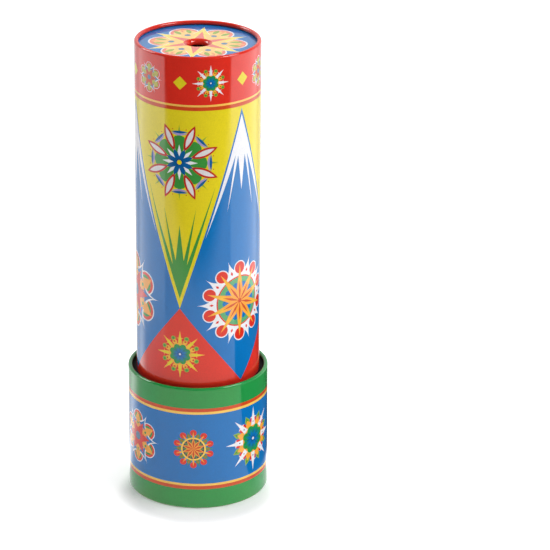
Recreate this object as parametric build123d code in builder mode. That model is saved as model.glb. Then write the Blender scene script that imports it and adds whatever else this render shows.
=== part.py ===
from build123d import *
import math
import os

os.makedirs("parts", exist_ok=True)

# Tinplate kaleidoscope, standing on its drum. Millimetres, +Z along the axis towards the eye.
# Origin: centre of the drum's resting rim.

# Driving dimensions
overall_length = 228.6  # 9 in, resting rim to eye rim
tube_radius = 30.0
drum_radius = 34.1
drum_length = 63.5  # 2 1/2 in
tin = 0.35  # tinplate thickness
curl_radius = 1.05  # outside radius of the rolled edges
curl_sweep = 290  # degrees that an edge is rolled through
rim_flat = 0.08  # depth of the flat pressed on each rolled edge
seam_width = 4.0  # lapped side seams, both on the +Y side
seam_groove_width = 0.4
seam_groove_depth = 0.12
glue_gap = 0.05  # between pieces that are glued together
curl_gap = 0.1  # between a rolled edge and the piece behind it
running_gap = 0.06  # radial clearance of the drum's bushes on the tube
axial_play = 0.6  # free play of the drum along the tube, each way

# Tube body
eye_hole_radius = 4.8
eye_neck_bend = 2.0  # radius of the drawn bend round the eye hole
eye_neck_length = 0.9  # straight stretch below the bend
window_thickness = 1.0
card_disc = 1.5
card_wall = 0.7
eyepiece_spacer_length = 2.8
spacer_wall = 2.0
mirror_inradius = 13.4  # axis to each reflecting face
mirror_thickness = 2.0
mirror_edge_gap = 0.1  # what each strip is narrower than the prism's side
collar_lip = 0.4  # how far the card collars reach over the mirrors' faces
tape_thickness = 0.15
tape_width = 12.0
tape_inset = 22.0  # tape centre to the mirror's end
end_ring_bore = 27.4
end_ring_flange = 1.5
end_ring_reach = 4.0  # length of the spigot inside the tube
flange_overlap = 2.6  # how far the flange stands out from the tube

# Drum and object cell
cell_floor = 1.2
cell_wall = 1.1
cell_depth = 12.9
cell_lid = 1.2
lid_plug = 0.9
retaining_ring_height = 1.3
retaining_ring_width = 2.6
bush_length = 6.0
liner_wall = 0.8

# Derived sizes
tube_bore = tube_radius - tin
drum_bore = drum_radius - tin
curl_width = 2 * curl_radius
floor_z = curl_width + curl_gap
cell_z = floor_z + cell_floor
lid_z = cell_z + cell_depth
retainer_z = lid_z + cell_lid + glue_gap
flange_z = retainer_z + retaining_ring_height + axial_play
tube_z = flange_z + end_ring_flange + glue_gap
lower_bush_z = flange_z + end_ring_flange + axial_play
upper_bush_z = drum_length - curl_width - curl_gap - bush_length
tube_window_z = flange_z + end_ring_flange + end_ring_reach + glue_gap
object_collar_z = tube_window_z + window_thickness + glue_gap
disc_z = overall_length - curl_width - glue_gap - tin
spacer_z = disc_z - glue_gap - eyepiece_spacer_length
eye_window_z = spacer_z - glue_gap - window_thickness
eye_collar_z = eye_window_z - glue_gap - card_disc
mirror_z = object_collar_z + card_disc + glue_gap
mirror_length = eye_collar_z - glue_gap - mirror_z
mirror_width = 2 * math.sqrt(3) * mirror_inradius - mirror_edge_gap


def write(piece, label):
    """Labels a finished piece and writes it as one node."""
    piece.part.label = label
    export_step(piece.part, f"parts/{label}.step")


def curl(centre, direction):
    """Outline of one rolled edge: both faces of the sheet, joined at its end.

    direction is +1 for an edge rolled over the top and -1 for one rolled under the bottom.
    """
    outside = CenterArc(centre, curl_radius, 0, direction * curl_sweep)
    inside = CenterArc(centre, curl_radius - tin, 0, direction * curl_sweep)
    Line(outside @ 1, inside @ 1)


def seam(bore, z_low, length):
    """Inside lap of a side seam, and the fine groove it leaves outside."""
    with BuildSketch(Plane.XY.offset(z_low)) as lap:
        Circle(bore + tin / 2)
        Circle(bore - tin, mode=Mode.SUBTRACT)
        with Locations((0, bore)):
            Rectangle(seam_width, 4 * tin, mode=Mode.INTERSECT)
    extrude(lap.sketch, amount=length)
    with BuildSketch(Plane.XY.offset(z_low)) as groove:
        with Locations((0, bore + tin)):
            Rectangle(seam_groove_width, 2 * seam_groove_depth)
    extrude(groove.sketch, amount=length, mode=Mode.SUBTRACT)


def seam_notch(bore, z_low, length):
    """Clears the inside lap of a seam from a ring or disc that fills the bore."""
    with BuildSketch(Plane.XY.offset(z_low)) as notch:
        with Locations((0, bore)):
            Rectangle(seam_width + 1, 4 * tin)
    extrude(notch.sketch, amount=length, mode=Mode.SUBTRACT)


def ring(outside, inside, z_low, length, bore):
    """Flat ring or short tube, notched for the seam of the shell it sits in."""
    with BuildPart() as piece:
        with BuildSketch(Plane.XY.offset(z_low)):
            Circle(outside)
            Circle(inside, mode=Mode.SUBTRACT)
        extrude(amount=length)
        seam_notch(bore, z_low, length)
    return piece


def disc(outside, z_low, thickness, bore):
    """Plain disc, notched for the seam of the shell it sits in."""
    with BuildPart() as piece:
        with BuildSketch(Plane.XY.offset(z_low)):
            Circle(outside)
        extrude(amount=thickness)
        seam_notch(bore, z_low, thickness)
    return piece


# ---- Tube body ----

# Printed tube: plain lower edge, top edge rolled inwards.
tube_curl = (tube_radius - curl_radius, overall_length - curl_radius + rim_flat)
with BuildPart() as tube_shell:
    with BuildSketch(Plane.XZ):
        with BuildLine():
            Line((tube_bore, tube_z), (tube_radius, tube_z))
            Line((tube_radius, tube_z), (tube_radius, tube_curl[1]))
            curl(tube_curl, 1)
            Line((tube_bore, tube_curl[1]), (tube_bore, tube_z))
        make_face()
        with Locations((tube_radius, overall_length + 1)):
            Rectangle(4 * curl_width, 2, mode=Mode.SUBTRACT)
    revolve(axis=Axis.Z)
    seam(tube_bore, tube_z, disc_z - curl_width - tube_z)
write(tube_shell, "tube_shell")

# Eyepiece: flat tinplate disc, drawn down into a short neck round the eye hole.
neck_low = disc_z + tin - eye_neck_bend - eye_neck_length
with BuildPart() as eyepiece_disc:
    with BuildSketch(Plane.XZ):
        with BuildLine():
            outer_bend = CenterArc(
                (eye_hole_radius + eye_neck_bend, disc_z + tin - eye_neck_bend), eye_neck_bend, 90, 90
            )
            inner_bend = CenterArc(
                (eye_hole_radius + eye_neck_bend, disc_z + tin - eye_neck_bend), eye_neck_bend - tin, 90, 90
            )
            Line((tube_bore - glue_gap, disc_z + tin), outer_bend @ 0)
            Line((tube_bore - glue_gap, disc_z), (tube_bore - glue_gap, disc_z + tin))
            Line((tube_bore - glue_gap, disc_z), inner_bend @ 0)
            Line(outer_bend @ 1, (eye_hole_radius, neck_low))
            Line((eye_hole_radius, neck_low), (eye_hole_radius + tin, neck_low))
            Line((eye_hole_radius + tin, neck_low), inner_bend @ 1)
        make_face()
    revolve(axis=Axis.Z)
write(eyepiece_disc, "eyepiece_disc")

card_outside = tube_bore - glue_gap
eyepiece_spacer = ring(card_outside, card_outside - spacer_wall, spacer_z, eyepiece_spacer_length, tube_bore)
write(eyepiece_spacer, "eyepiece_spacer")

eye_window = disc(card_outside, eye_window_z, window_thickness, tube_bore)
write(eye_window, "eye_window")


def mirror_collar(z_low):
    """Card disc whose triangular hole frames the three reflecting faces."""
    with BuildPart() as collar:
        with BuildSketch(Plane.XY.offset(z_low)):
            Circle(card_outside)
            RegularPolygon(2 * (mirror_inradius - collar_lip), 3, rotation=30, mode=Mode.SUBTRACT)
        extrude(amount=card_disc)
        seam_notch(tube_bore, z_low, card_disc)
    return collar


write(mirror_collar(eye_collar_z), "eye_end_collar")
write(mirror_collar(object_collar_z), "object_end_collar")

# Three equal mirror strips. Their reflecting faces make an equilateral prism.
for number, name in enumerate(("mirror_a", "mirror_b", "mirror_c")):
    with BuildPart() as mirror_strip:
        with BuildSketch(Plane.XY.offset(mirror_z).rotated((0, 0, 120 * number))):
            with Locations((0, mirror_inradius + mirror_thickness / 2)):
                Rectangle(mirror_width, mirror_thickness)
        extrude(amount=mirror_length)
        chamfer(mirror_strip.edges().filter_by(Axis.Z), length=0.2)
    write(mirror_strip, name)


def prism_outline(distance):
    """Corners of the folded card's section: a triangle with its corners cut off.

    distance is how far the outline stands off the backs of the mirrors.
    """
    back = mirror_inradius + mirror_thickness
    corner_face = mirror_width / 2 * math.cos(math.radians(30)) + back / 2 + distance
    long_face = back + distance
    half_width = (corner_face - long_face / 2) / math.cos(math.radians(30))
    corner_radius = math.hypot(half_width, long_face)
    half_angle = math.degrees(math.atan2(half_width, long_face))
    angles = [90 + 120 * side + turn for side in range(3) for turn in (-half_angle, half_angle)]
    return [
        (corner_radius * math.cos(math.radians(angle)), corner_radius * math.sin(math.radians(angle)))
        for angle in angles
    ]


def prism_band(inside, thickness, z_low, length):
    """Band of even thickness wrapped round the mirror prism."""
    with BuildPart() as band:
        with BuildSketch(Plane.XY.offset(z_low)):
            Polygon(*prism_outline(inside + thickness), align=None)
            Polygon(*prism_outline(inside), align=None, mode=Mode.SUBTRACT)
        extrude(amount=length)
    return band


write(prism_band(glue_gap, card_wall, mirror_z, mirror_length), "mirror_sleeve")
tape_inside = 2 * glue_gap + card_wall
for name, centre in (
    ("mirror_tape_upper", mirror_z + mirror_length - tape_inset),
    ("mirror_tape_lower", mirror_z + tape_inset),
):
    write(prism_band(tape_inside, tape_thickness, centre - tape_width / 2, tape_width), name)

tube_end_window = disc(card_outside, tube_window_z, window_thickness, tube_bore)
write(tube_end_window, "tube_end_window")

# End ring: a spigot glued inside the tube, and a flange that keeps the drum on.
spigot_z = flange_z + end_ring_flange
with BuildPart() as tube_end_ring:
    with BuildSketch(Plane.XY.offset(flange_z)):
        Circle(tube_radius + flange_overlap)
        Circle(end_ring_bore, mode=Mode.SUBTRACT)
    extrude(amount=end_ring_flange)
    with BuildSketch(Plane.XY.offset(spigot_z)):
        Circle(card_outside)
        Circle(end_ring_bore, mode=Mode.SUBTRACT)
    extrude(amount=end_ring_reach)
    seam_notch(tube_bore, spigot_z, end_ring_reach)
    lead_in = tube_end_ring.faces().sort_by(Axis.Z)[-1].edges().filter_by(GeomType.CIRCLE)
    chamfer(lead_in.sort_by(SortBy.RADIUS)[0], length=0.4)
write(tube_end_ring, "tube_end_ring")

# ---- Drum ----

# Printed drum: both edges rolled inwards, the lower one is what the toy stands on.
low_curl = (drum_radius - curl_radius, curl_radius - rim_flat)
high_curl = (drum_radius - curl_radius, drum_length - curl_radius + rim_flat)
with BuildPart() as drum_shell:
    with BuildSketch(Plane.XZ):
        with BuildLine():
            Line((drum_radius, low_curl[1]), (drum_radius, high_curl[1]))
            curl(high_curl, 1)
            Line((drum_bore, high_curl[1]), (drum_bore, low_curl[1]))
            curl(low_curl, -1)
        make_face()
        with Locations((drum_radius, drum_length + 1), (drum_radius, -1)):
            Rectangle(4 * curl_width, 2, mode=Mode.SUBTRACT)
    revolve(axis=Axis.Z)
    seam(drum_bore, floor_z, drum_length - 2 * floor_z)
write(drum_shell, "drum_shell")

drum_fit = drum_bore - glue_gap
bush_bore = tube_radius + running_gap
write(ring(drum_fit, bush_bore, upper_bush_z, bush_length, drum_bore), "upper_bearing_ring")
write(ring(drum_fit, bush_bore, lower_bush_z, bush_length, drum_bore), "lower_bearing_ring")
liner_z = lower_bush_z + bush_length + glue_gap
liner_length = upper_bush_z - glue_gap - liner_z
write(ring(drum_fit, drum_fit - liner_wall, liner_z, liner_length, drum_bore), "drum_liner")

# Object cell: a clear moulded cup with the lid plugged into it.
cup_bore = drum_fit - cell_wall
with BuildPart() as object_cup:
    with BuildSketch(Plane.XY.offset(floor_z)):
        Circle(drum_fit)
    extrude(amount=cell_floor + cell_depth - glue_gap)
    seam_notch(drum_bore, floor_z, cell_floor + cell_depth)
    with BuildSketch(Plane.XY.offset(cell_z)):
        Circle(cup_bore)
    extrude(amount=cell_depth, mode=Mode.SUBTRACT)
    base_edge = object_cup.edges().filter_by(GeomType.CIRCLE).group_by(Axis.Z)[0]
    chamfer(base_edge.sort_by(SortBy.RADIUS)[-1], length=0.3)
write(object_cup, "object_cup")

with BuildPart() as inner_window:
    with BuildSketch(Plane.XY.offset(lid_z)):
        Circle(drum_fit)
    extrude(amount=cell_lid)
    seam_notch(drum_bore, lid_z, cell_lid)
    with BuildSketch(Plane.XY.offset(lid_z - lid_plug)):
        Circle(cup_bore - glue_gap)
    extrude(amount=lid_plug)
write(inner_window, "inner_window")

retainer_inside = drum_fit - retaining_ring_width
write(ring(drum_fit, retainer_inside, retainer_z, retaining_ring_height, drum_bore), "cell_retaining_ring")

# ---- Loose beads ----
# Each template rests on z = 0 at the origin. Its reach is the radius of the circle that it
# stays inside, seen from above.


def facet_bead(size, sides):
    """Cut bead: stacked many-sided frustums with flat ends and a thread hole."""
    levels = ((0, 0.30), (0.22, 0.47), (0.5, 0.5), (0.78, 0.47), (1, 0.30))
    with BuildPart() as bead:
        for step, (height, share) in enumerate(levels):
            with BuildSketch(Plane.XY.offset(height * size * 0.9)):
                RegularPolygon(share * size, sides, rotation=180 / sides * (step % 2))
        loft(ruled=True)
        Hole(radius=0.09 * size)
    return bead.part


def round_bead(radius):
    """Smooth round bead lying with its thread hole level."""
    with BuildPart() as bead:
        with BuildSketch(Plane.XY):
            with BuildLine():
                Line((-radius, 0), (radius, 0))
                CenterArc((0, 0), radius, 0, 180)
            make_face()
        revolve(axis=Axis.X)
        with BuildSketch(Plane.YZ.offset(-radius)):
            Circle(0.22 * radius)
        extrude(amount=2 * radius, mode=Mode.SUBTRACT)
    return bead.part.moved(Location((0, 0, radius)))


def pony_bead(radius, length, hole):
    """Barrel bead with a wide hole, standing on one end."""
    with BuildPart() as bead:
        with BuildSketch(Plane.XZ):
            with BuildLine():
                Line((hole, 0), (radius - length / 3, 0))
                CenterArc((radius - length / 2, length / 2), length / 2, -70, 140)
                Line((radius - length / 3, length), (hole, length))
                ThreePointArc((hole, length), (hole - 0.25, length / 2), (hole, 0))
            make_hull()
            with Locations((0, length / 2)):
                Rectangle(2 * hole, length, mode=Mode.SUBTRACT)
        revolve(axis=Axis.Z)
    return bead.part


def rice_bead(length, radius):
    """Long oval bead lying on its side."""
    with BuildPart() as bead:
        with BuildSketch(Plane.XY):
            Ellipse(length / 2, radius)
            with Locations((0, -radius)):
                Rectangle(length, 2 * radius, mode=Mode.SUBTRACT)
        revolve(axis=Axis.X)
        with BuildSketch(Plane.YZ.offset(-length / 2)):
            Circle(0.25 * radius)
        extrude(amount=length, mode=Mode.SUBTRACT)
    return bead.part.moved(Location((0, 0, radius)))


def tube_bead(length, radius):
    """Short length of tube lying on its side."""
    with BuildPart() as bead:
        with BuildSketch(Plane.YZ.offset(-length / 2)):
            with Locations((0, radius)):
                Circle(radius)
                Circle(0.42 * radius, mode=Mode.SUBTRACT)
        extrude(amount=length)
        fillet(bead.edges().filter_by(GeomType.CIRCLE).sort_by(SortBy.RADIUS)[-2:], radius=0.3 * radius)
    return bead.part


def flower_bead(radius, thickness):
    """Flat bead of round petals, with softened valleys and a thread hole."""
    with BuildPart() as bead:
        with BuildSketch(Plane.XY) as outline:
            Circle(0.45 * radius)
            with PolarLocations(0.62 * radius, 6):
                Circle(0.38 * radius)
            fillet(outline.vertices(), radius=0.06 * radius)
            Circle(0.2 * radius, mode=Mode.SUBTRACT)
        extrude(amount=thickness)
        fillet(bead.faces().sort_by(Axis.Z)[-1].outer_wire().edges(), radius=0.12 * radius)
    return bead.part


def star_bead(radius, thickness):
    """Flat five-pointed bead with a thread hole."""
    points = [
        (reach * math.cos(math.radians(36 * step)), reach * math.sin(math.radians(36 * step)))
        for step, reach in enumerate((radius, 0.55 * radius) * 5)
    ]
    with BuildPart() as bead:
        with BuildSketch(Plane.XY):
            Polygon(*points, align=None)
            Circle(0.18 * radius, mode=Mode.SUBTRACT)
        extrude(amount=thickness)
        chamfer(bead.faces().sort_by(Axis.Z)[-1].outer_wire().edges(), length=0.1 * radius)
    return bead.part


def cube_bead(size):
    """Cube with cut corners and a thread hole."""
    with BuildPart() as bead:
        with BuildSketch(Plane.XY):
            Rectangle(size, size)
        extrude(amount=size)
        chamfer(bead.edges(), length=0.16 * size)
        Hole(radius=0.15 * size)
    return bead.part


# Bead orders round the three rings in which the beads lie: (node, template, reach)
pink_facet = ("pink_facet_beads", facet_bead(9.4, 8), 4.75)
blue_facet = ("blue_facet_beads", facet_bead(10.6, 8), 5.35)
ice_facet = ("ice_facet_beads", facet_bead(8.8, 8), 4.45)
green_facet = ("green_facet_bead", facet_bead(7.2, 6), 3.65)
orange_pony = ("orange_pony_beads", pony_bead(4.6, 6.2, 1.9), 4.65)
amber_pony = ("amber_pony_bead", pony_bead(4.3, 5.8, 1.8), 4.35)
lime_round = ("lime_round_beads", round_bead(4.4), 4.45)
green_round = ("green_round_beads", round_bead(3.4), 3.45)
clear_round = ("clear_round_bead", round_bead(3.6), 3.65)
orange_rod = ("orange_rod_bead", tube_bead(11.0, 2.2), 5.95)
red_tube = ("red_tube_bead", tube_bead(8.4, 2.8), 5.1)
teal_rice = ("teal_rice_bead", rice_bead(11.0, 3.0), 5.55)
rose_rice = ("rose_rice_beads", rice_bead(8.6, 2.7), 4.35)
magenta_flower = ("magenta_flower_beads", flower_bead(4.9, 3.6), 4.95)
clear_star = ("clear_star_bead", star_bead(5.4, 3.6), 5.45)
pink_star = ("pink_star_bead", star_bead(4.0, 3.2), 4.05)
navy_cube = ("navy_cube_beads", cube_bead(5.8), 4.15)

# (ring radius, how far beads stray from it, beads in order round the ring)
bead_rings = (
    (
        26.0,
        0.45,
        (
            pink_facet, orange_pony, blue_facet, lime_round, magenta_flower,
            orange_rod, pink_facet, teal_rice, lime_round, red_tube,
            blue_facet, orange_pony, clear_star, pink_facet, magenta_flower,
        ),
    ),
    (
        14.6,
        0.35,
        (
            ice_facet, green_round, rose_rice, navy_cube, amber_pony,
            green_round, ice_facet, rose_rice, navy_cube,
        ),
    ),
    (4.9, 0.0, (clear_round, pink_star, green_facet)),
)
rest_z = cell_z + glue_gap
golden_turn = 137.5  # degrees between the headings of one bead and the next


def ring_places(radius, stray, order):
    """Places for the beads of one ring: spread by reach, with equal gaps between them."""
    half_angles = [math.degrees(math.asin((reach + stray / 2) / radius)) for _, _, reach in order]
    spare = (360 - 2 * sum(half_angles)) / len(order)
    assert spare > 0, "the beads of a ring don't fit round it"
    angle = 0
    places = []
    for number, half_angle in enumerate(half_angles):
        angle += half_angle
        distance = radius + stray * math.sin(golden_turn * number)
        x = distance * math.cos(math.radians(angle))
        y = distance * math.sin(math.radians(angle))
        places.append(Location((x, y, rest_z), (0, 0, golden_turn * number)))
        angle += half_angle + spare
    return places


for radius, stray, order in bead_rings:
    places = ring_places(radius, stray, order)
    for name in dict.fromkeys(bead[0] for bead in order):
        template = next(bead[1] for bead in order if bead[0] == name)
        with BuildPart() as bead_group:
            with Locations(*[place for place, bead in zip(places, order) if bead[0] == name]):
                add(template)
        write(bead_group, name)
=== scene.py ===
"""Looks of the tinplate kaleidoscope: printed shells, clear cell, loose beads, mirrors and the studio.

The printed pictures are flat outlines, built by formula in millimetres on the unrolled sheet. They are
cut into one triangle mesh whose faces each carry an ink, and that mesh is rolled into the shell.
"""

import math

import bpy
from mathutils import Matrix, Vector
from mathutils.geometry import delaunay_2d_cdt
from mathutils.kdtree import KDTree


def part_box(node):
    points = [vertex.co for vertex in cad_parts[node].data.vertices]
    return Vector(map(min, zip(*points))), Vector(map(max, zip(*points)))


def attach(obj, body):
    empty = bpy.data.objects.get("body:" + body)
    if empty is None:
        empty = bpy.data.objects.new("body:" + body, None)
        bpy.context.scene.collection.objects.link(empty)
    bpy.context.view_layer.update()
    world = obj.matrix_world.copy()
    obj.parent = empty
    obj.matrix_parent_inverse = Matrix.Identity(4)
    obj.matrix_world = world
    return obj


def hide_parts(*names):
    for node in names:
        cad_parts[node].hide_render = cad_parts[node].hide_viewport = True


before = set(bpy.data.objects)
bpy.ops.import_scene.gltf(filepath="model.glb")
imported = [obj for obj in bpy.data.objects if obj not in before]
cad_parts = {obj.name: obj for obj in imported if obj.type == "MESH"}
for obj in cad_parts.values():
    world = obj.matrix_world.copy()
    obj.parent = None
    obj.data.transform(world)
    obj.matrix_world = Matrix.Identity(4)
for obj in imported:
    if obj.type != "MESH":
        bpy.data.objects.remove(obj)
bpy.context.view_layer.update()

# Sizes are in millimetres up to the materials, and in metres from there on.
MM = 0.001
TIN = 0.35  # sheet thickness
CURL = 1.05  # outside radius of the rolled edges
CURL_SWEEP = 290  # degrees
COLUMNS = 144  # facets round each shell

tube_low, tube_high = (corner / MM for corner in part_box("tube_shell"))
drum_low, drum_high = (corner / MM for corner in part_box("drum_shell"))
disc_low, disc_high = (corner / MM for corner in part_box("eyepiece_disc"))
TUBE_RADIUS = tube_high.x
TUBE_TURN = 2 * math.pi * TUBE_RADIUS  # length of the unrolled tube
DRUM_RADIUS = drum_high.x
DRUM_TURN = 2 * math.pi * DRUM_RADIUS

# Printing inks, sRGB
INKS = {
    "red": (222, 47, 33), "vermilion": (208, 74, 32), "yellow": (231, 211, 36), "gold": (248, 200, 92),
    "blue": (4, 114, 186), "navy": (12, 66, 132), "ink_blue": (40, 52, 88),
    "green": (34, 148, 70), "leaf": (60, 147, 62), "moss": (142, 174, 56), "orange": (248, 168, 60),
    "peach": (252, 206, 122), "salmon": (238, 128, 106), "pink": (234, 116, 104), "white": (236, 236, 240),
    "pearl": (228, 223, 224), "lilac": (168, 152, 198), "slate": (92, 128, 160), "olive": (196, 182, 78),
    "amber": (242, 188, 58), "lemon": (248, 224, 104), "fern": (98, 140, 66), "mint": (92, 172, 116),
    "cobalt": (10, 92, 154), "brick": (192, 44, 36), "teal": (28, 130, 130),
    # black is painted shade, used for the shaded bore of the eyepiece's neck.
    "seam": (70, 66, 62), "tin": (170, 168, 160), "black": (14, 12, 12),
}


def linear(colour):
    """Scene-linear RGB of an sRGB colour given in 0 to 255."""
    shares = [channel / 255 for channel in colour]
    return [s / 12.92 if s <= 0.04045 else ((s + 0.055) / 1.055) ** 2.4 for s in shares]


# ---- Outlines. Each points along +x from the motif's centre, which is the origin. ----

def polar(radius, degrees):
    return (radius * math.cos(math.radians(degrees)), radius * math.sin(math.radians(degrees)))


def dot(radius, at=0.0, sides=28):
    """Circle centred on +x."""
    return [(at + x, y) for x, y in (polar(radius, 360 * k / sides) for k in range(sides))]


def rectangle(left, right, low, high):
    return [(left, low), (right, low), (right, high), (left, high)]


def kite(near, far, half, belly):
    """Four-cornered ray, widest at radius belly."""
    return [(near, 0), (belly, -half), (far, 0), (belly, half)]


def mirrored(side):
    """Outline from one side, listed from near to far, and its mirror image."""
    return side + [(x, -y) for x, y in reversed(side) if abs(y) > 1e-9]


def lens(near, far, half, steps=10):
    """Leaf with two round sides and a point at each end."""
    side = []
    for k in range(steps + 1):
        share = k / steps
        side.append((near + (far - near) * share, -4 * half * share * (1 - share)))
    return mirrored(side)


def thorn(near, far, half, hollow=1.8, steps=6):
    """Spike with hollow sides and a flat base."""
    side = [(near + (far - near) * k / steps, -half * (1 - k / steps) ** hollow) for k in range(steps + 1)]
    return mirrored(side)


def arc_band(inner, outer, half_angle, steps=10):
    """Lens-shaped stretch of a ring, centred on +x: round outside, thinning to its ends."""
    ends = [-half_angle + 2 * half_angle * k / steps for k in range(steps + 1)]
    rim = [polar(outer, angle) for angle in ends]
    back = []
    for angle in ends:
        depth = (outer - inner) * math.cos(math.pi / 2 * angle / half_angle)
        back.append(polar(outer - depth, angle))
    return rim + back[-2:0:-1]


def star(points, far, near, first=0.0):
    """Star with straight-sided rays."""
    turn = 180 / points
    return [polar(far if k % 2 == 0 else near, first + turn * k) for k in range(2 * points)]


def ray_from_ring(ring, tip, half_angle, steps=4):
    """Straight-sided ray whose foot is an arc of a ring."""
    return [polar(ring, half_angle * (2 * k / steps - 1)) for k in range(steps + 1)] + [(tip, 0)]


def turned(outline, degrees):
    c, s = math.cos(math.radians(degrees)), math.sin(math.radians(degrees))
    return [(x * c - y * s, x * s + y * c) for x, y in outline]


def fan(count, first, *shapes):
    """Copies of each (outline, ink) round the centre, one shape after another, so later shapes lie on top."""
    return [(turned(outline, first + 360 * k / count), ink) for outline, ink in shapes for k in range(count)]


def placed(motif, x, y, size, turn=0.0):
    """A motif of unit radius, scaled, turned and moved to a place on the sheet."""
    return [([(x + size * u, y + size * v) for u, v in turned(outline, turn)], ink) for outline, ink in motif]


# ---- Motifs, each of unit radius, in painting order ----

def rosette(ground, lobe="red", leaf="green", flame="orange", heart="red", eye="slate"):
    """Six round lobes edged in white, hollow white spikes between them, round a six-pointed heart."""
    return (
        fan(6, 30, (dot(0.31, 0.675), "white"), (dot(0.278, 0.675), lobe), (dot(0.215, 0.65), leaf))
        + [(dot(0.47), ground)]
        + fan(6, 30, (kite(0.24, 0.935, 0.205, 0.55), flame))
        + fan(6, 0, (thorn(0.57, 1.06, 0.21, 2.3), "white"), (thorn(0.50, 0.90, 0.20, 2.0), ground))
        + fan(6, 30, (dot(0.048, 0.50, 10), leaf))
        + [(star(6, 0.65, 0.31), heart), (dot(0.155, 0, 12), eye)]
    )


def compass_star(spike="white", floret="leaf", inlay="plain"):
    """Eight flared spikes over a scalloped green disc with a blue star.

    floret is what stands between the spikes, and inlay is what each spike carries.
    """
    flare = mirrored([(0.42, -0.085), (0.65, -0.062), (0.675, -0.145), (0.69, -0.052), (1.0, 0)])
    florets = {
        "leaf": (
            (kite(0.40, 0.83, 0.10, 0.66), "moss"), (kite(0.48, 0.77, 0.045, 0.67), "leaf"),
            (kite(0.36, 0.68, 0.13, 0.50), "orange"),
        ),
        "bud": (
            (dot(0.098, 0.70, 14), "moss"), (dot(0.055, 0.71, 10), "leaf"),
            (dot(0.095, 0.545, 12), "amber"), (dot(0.045, 0.575, 8), "vermilion"),
        ),
    }[floret]
    inlays = {
        "eye": ((dot(0.022, 0.535, 8), "ink_blue"),),
        "ridge": ((kite(0.43, 0.86, 0.056, 0.58), "yellow"),),
        "plain": (),
    }[inlay]
    return (
        fan(8, 0, (dot(0.14, 0.585, 14), "red"), (kite(0.40, 0.64, 0.08, 0.50), "orange"))
        + fan(8, 22.5, *florets)
        + [(dot(0.465), "orange")]
        + fan(8, 0, (flare, spike))
        + fan(8, 0, *inlays)
        + fan(8, 22.5, (dot(0.125, 0.315, 18), "green"))
        + [(dot(0.37), "green")]
        + fan(8, 22.5, (kite(0.12, 0.37, 0.065, 0.24), "teal"))
        + fan(8, 0, (kite(0.10, 0.36, 0.028, 0.22), "cobalt"))
        + [(star(8, 0.27, 0.15, 22.5), "blue"), (star(8, 0.16, 0.09), "cobalt"), (dot(0.042, 0, 14), "white")]
    )


def wheel():
    """Ten lobes and ten rays, with white spikes between the lobes."""
    return (
        fan(10, 18, (thorn(0.68, 1.08, 0.165, 1.9), "white"))
        + fan(10, 0, (dot(0.172, 0.825, 24), "white"))
        + [(dot(0.735, 0, 60), "white")]
        + fan(10, 0, (dot(0.146, 0.825, 24), "red"))
        + fan(10, 18, (kite(0.69, 0.80, 0.032, 0.74), "red"))
        + [(dot(0.625, 0, 60), "red"), (dot(0.592, 0, 60), "mint")]
        + fan(10, 18, (kite(0.20, 0.485, 0.095, 0.43), "blue"))
        + [(dot(0.285, 0, 30), "orange")]
        + fan(10, 0, (kite(0.0, 0.89, 0.092, 0.30), "orange"), (kite(0.34, 0.82, 0.042, 0.50), "amber"))
        + fan(10, 0, (kite(0.0, 0.50, 0.030, 0.24), "vermilion"))
        + [(star(10, 0.09, 0.045), "vermilion")]
    )


def knob_wheel():
    """Small wheel: ten red knobs on stems, leaves between them, a yellow rim and a rayed hub."""
    return (
        fan(
            10, 18, (thorn(0.58, 0.97, 0.10, 1.5), "leaf"), (dot(0.11, 0.69, 14), "fern"),
            (kite(0.62, 0.79, 0.03, 0.70), "vermilion"),
        )
        + fan(10, 0, (dot(0.16, 0.835, 18), "red"), (kite(0.50, 0.90, 0.05, 0.62), "orange"))
        + [(dot(0.60, 0, 48), "amber"), (dot(0.57, 0, 48), "lemon")]
        + [(dot(0.525, 0, 48), "vermilion"), (dot(0.51, 0, 48), "ink_blue")]
        + fan(10, 18, (kite(0.28, 0.51, 0.05, 0.44), "fern"))
        + [(dot(0.28, 0, 30), "orange")]
        + fan(10, 0, (kite(0.0, 0.57, 0.090, 0.31), "orange"), (kite(0.0, 0.49, 0.052, 0.27), "vermilion"))
    )


def blossom():
    """Eight slim pearl petals edged in red, over green leaves and a broken blue ring."""
    leaf_side = [(0.24, -0.08), (0.38, -0.115), (0.50, -0.12), (0.59, -0.15), (0.65, -0.12), (0.68, -0.03)]
    return (
        fan(8, 0, (thorn(0.70, 0.97, 0.05, 1.5), "moss"))
        + fan(8, 0, (arc_band(0.675, 0.755, 16), "lilac"), (arc_band(0.73, 0.795, 16), "cobalt"))
        + fan(8, -11.6, (dot(0.016, 0.845, 8), "vermilion"))
        + fan(8, 11.6, (dot(0.016, 0.845, 8), "vermilion"))
        + fan(8, 0, (mirrored(leaf_side), "leaf"))
        + fan(8, 22.5, (lens(0.305, 1.01, 0.108), "brick"), (lens(0.405, 0.92, 0.060), "pearl"))
        + [(star(8, 0.37, 0.20, 22.5), "cobalt")]
        + fan(8, 0, (kite(0.15, 0.45, 0.045, 0.27), "white"))
        + [(dot(0.085, 0, 18), "navy"), (dot(0.06, 0, 18), "yellow")]
    )


def daisy():
    """Small flower of orange petals edged in white, with a green and blue centre."""
    return (
        fan(8, 22.5, (thorn(0.55, 1.0, 0.12, 1.5), "moss"))
        + fan(8, 0, (lens(0.20, 0.98, 0.16), "white"), (lens(0.26, 0.92, 0.12), "orange"))
        + fan(8, 0, (kite(0.30, 0.70, 0.045, 0.5), "red"))
        + [(dot(0.40), "gold"), (dot(0.32), "green"), (star(8, 0.28, 0.13), "blue")]
        + [(dot(0.07, 0, 12), "white")]
    )


def diamond():
    return [([(-1, 0), (0, -1), (1, 0), (0, 1)], "yellow")]


# ---- The two printed sheets and the eyepiece, in millimetres ----
# x runs round the sheet from the front, positive to the right, and y is height above the rim.

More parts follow.
